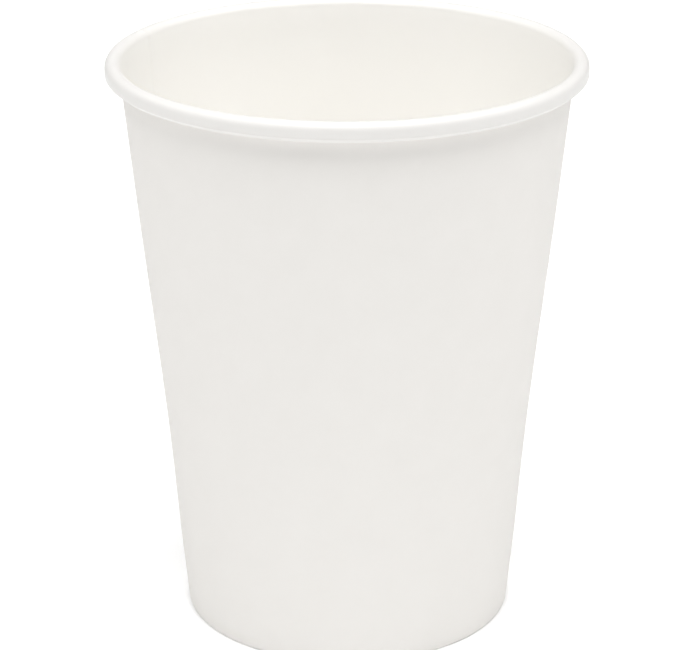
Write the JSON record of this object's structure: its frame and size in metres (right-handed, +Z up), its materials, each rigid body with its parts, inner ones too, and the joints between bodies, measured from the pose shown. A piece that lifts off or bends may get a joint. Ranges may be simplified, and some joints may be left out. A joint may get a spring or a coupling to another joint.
{
  "type": "paper coffee cup",
  "caption": "Plain white single-wall paper hot drink cup: a tapered wall with a rolled drinking rim, a lapped side seam and a recessed bottom disc held in a folded hem.",
  "frame": {"origin": "on the cup's axis, on the plane that the foot ring stands on", "axes": "+Z up along the cup's axis towards the rim, +Y towards the back, and the side seam 160 degrees about Z from +X"},
  "size_m": [0.09, 0.09, 0.11],
  "materials": {
    "wall_board": "white paper board, matte uncoated outside, smooth sealed satin face inside and on the rolled rim",
    "disc_board": "white paper board, sealed satin face upwards, matte uncoated face underneath"
  },
  "bodies": {
    "root": {"side_wall": "wall_board", "bottom_disc": "disc_board"}
  },
  "joints": []
}
